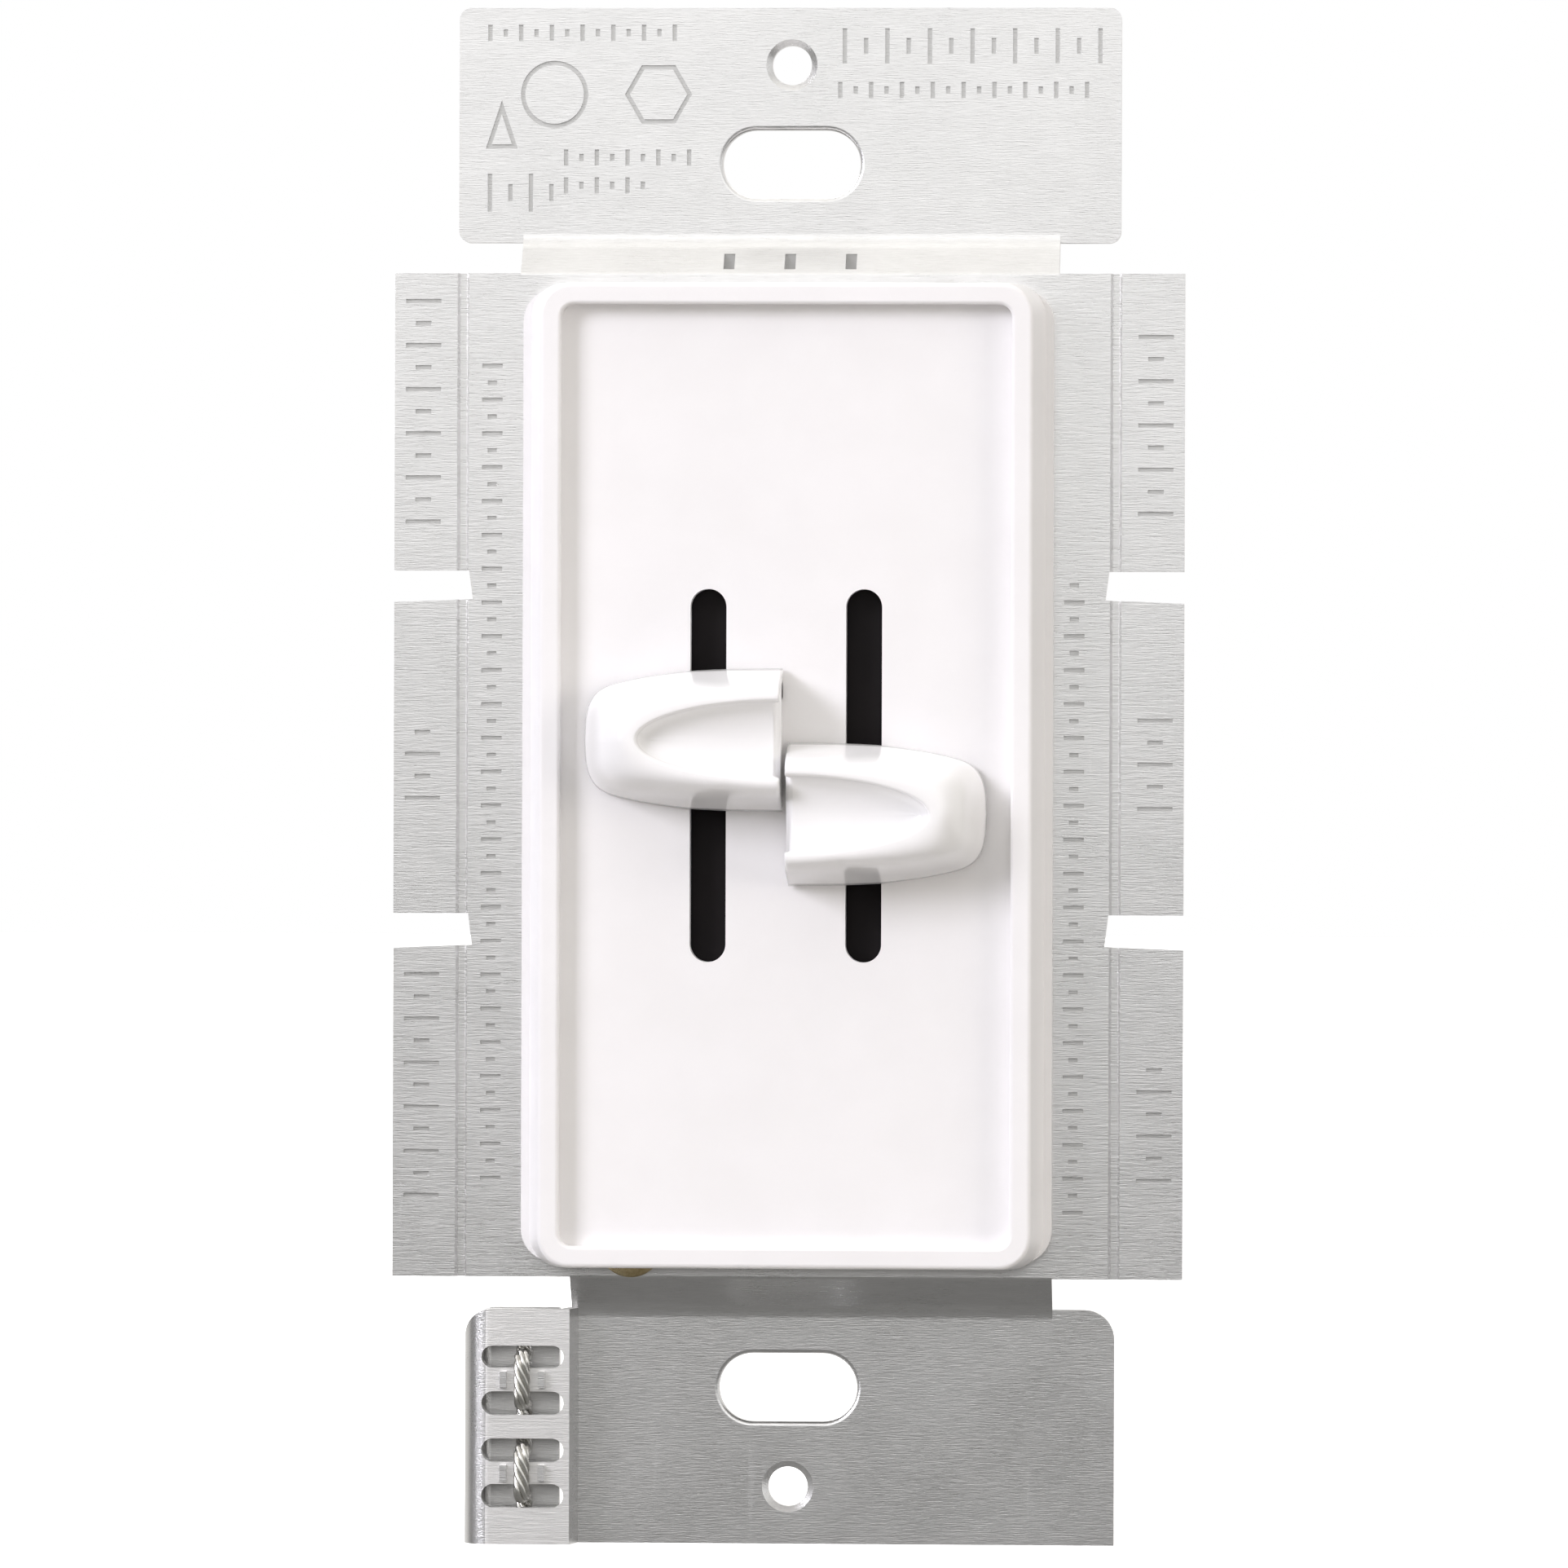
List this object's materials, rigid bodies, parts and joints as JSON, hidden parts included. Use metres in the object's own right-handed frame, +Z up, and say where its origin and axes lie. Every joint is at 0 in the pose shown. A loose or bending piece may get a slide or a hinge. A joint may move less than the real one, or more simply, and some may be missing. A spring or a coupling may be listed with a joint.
{
  "type": "dimmer slide switch",
  "caption": "Wall-box dimmer with two slide knobs in a white decorator bezel, on an aluminium strap with break-off side fins and a moulded back box.",
  "frame": {"origin": "midway between the two box-screw slots, on the plane where the ears of the strap rest on the wall", "axes": "+Z up along the strap, -Y out into the room through the slide knobs, +X to the right of a person facing it"},
  "size_m": [0.0538, 0.0392, 0.1046],
  "materials": {
    "strap_aluminium": "brushed, sheared edges",
    "bezel_white": "satin moulded white",
    "knob_white": "polished moulded white",
    "liner_black": "matt black",
    "shield_black": "matt black film",
    "lever_acetal": "natural acetal",
    "case_phenolic": "moulded phenolic",
    "track_board": "phenolic board with carbon tracks",
    "bronze": "spring bronze",
    "tinned_pins": "tinned",
    "silver_contacts": "silver-faced bronze",
    "triac_black": "moulded epoxy with a tinned tab",
    "thermal_pad": "grey silicone pad",
    "brass_rivet": "brass",
    "pcb": "paper-phenolic board",
    "iron_core": "epoxy-coated powdered iron",
    "copper_wire": "enamelled copper",
    "film_case": "moulded box",
    "timing_case": "moulded box",
    "resistor_coat": "lacquered",
    "diac_glass": "glass body",
    "cover_black": "moulded thermoset, matt",
    "bare_wire": "tinned twisted strands"
  },
  "bodies": {
    "housing": {"mounting_strap": "strap_aluminium", "ground_wire": "bare_wire", "bezel": "bezel_white", "slot_liner": "liner_black", "triac_rivets": "brass_rivet", "cover_rivets": "brass_rivet", "circuit_board": "pcb", "lead_eyelets": "brass_rivet", "resistors": "resistor_coat", "diacs": "diac_glass", "back_cover": "cover_black", "slide_case_left": "case_phenolic", "resistive_track_left": "track_board", "track_pins_left": "tinned_pins", "off_switch_leaf_left": "silver_contacts", "off_switch_contact_left": "silver_contacts", "triac_left": "triac_black", "triac_pad_left": "thermal_pad", "choke_core_left": "iron_core", "choke_winding_left": "copper_wire", "film_capacitor_left": "film_case", "timing_capacitor_left": "timing_case", "slide_case_right": "case_phenolic", "resistive_track_right": "track_board", "track_pins_right": "tinned_pins", "off_switch_leaf_right": "silver_contacts", "off_switch_contact_right": "silver_contacts", "triac_right": "triac_black", "triac_pad_right": "thermal_pad", "choke_core_right": "iron_core", "choke_winding_right": "copper_wire", "film_capacitor_right": "film_case", "timing_capacitor_right": "timing_case"},
    "slider_left": {"slider_knob_left": "knob_white", "slider_lever_left": "lever_acetal", "dust_shield_left": "shield_black", "wiper_spring_left": "bronze"},
    "slider_right": {"slider_knob_right": "knob_white", "slider_lever_right": "lever_acetal", "dust_shield_right": "shield_black", "wiper_spring_right": "bronze"}
  },
  "joints": [
    {"name": "left_slide", "type": "slide", "parent": "housing", "child": "slider_left", "axis": [0, 0, 1], "range_m": [-0.0132, 0.0084]},
    {"name": "right_slide", "type": "slide", "parent": "housing", "child": "slider_right", "axis": [0, 0, 1], "range_m": [-0.0082, 0.0134]}
  ]
}
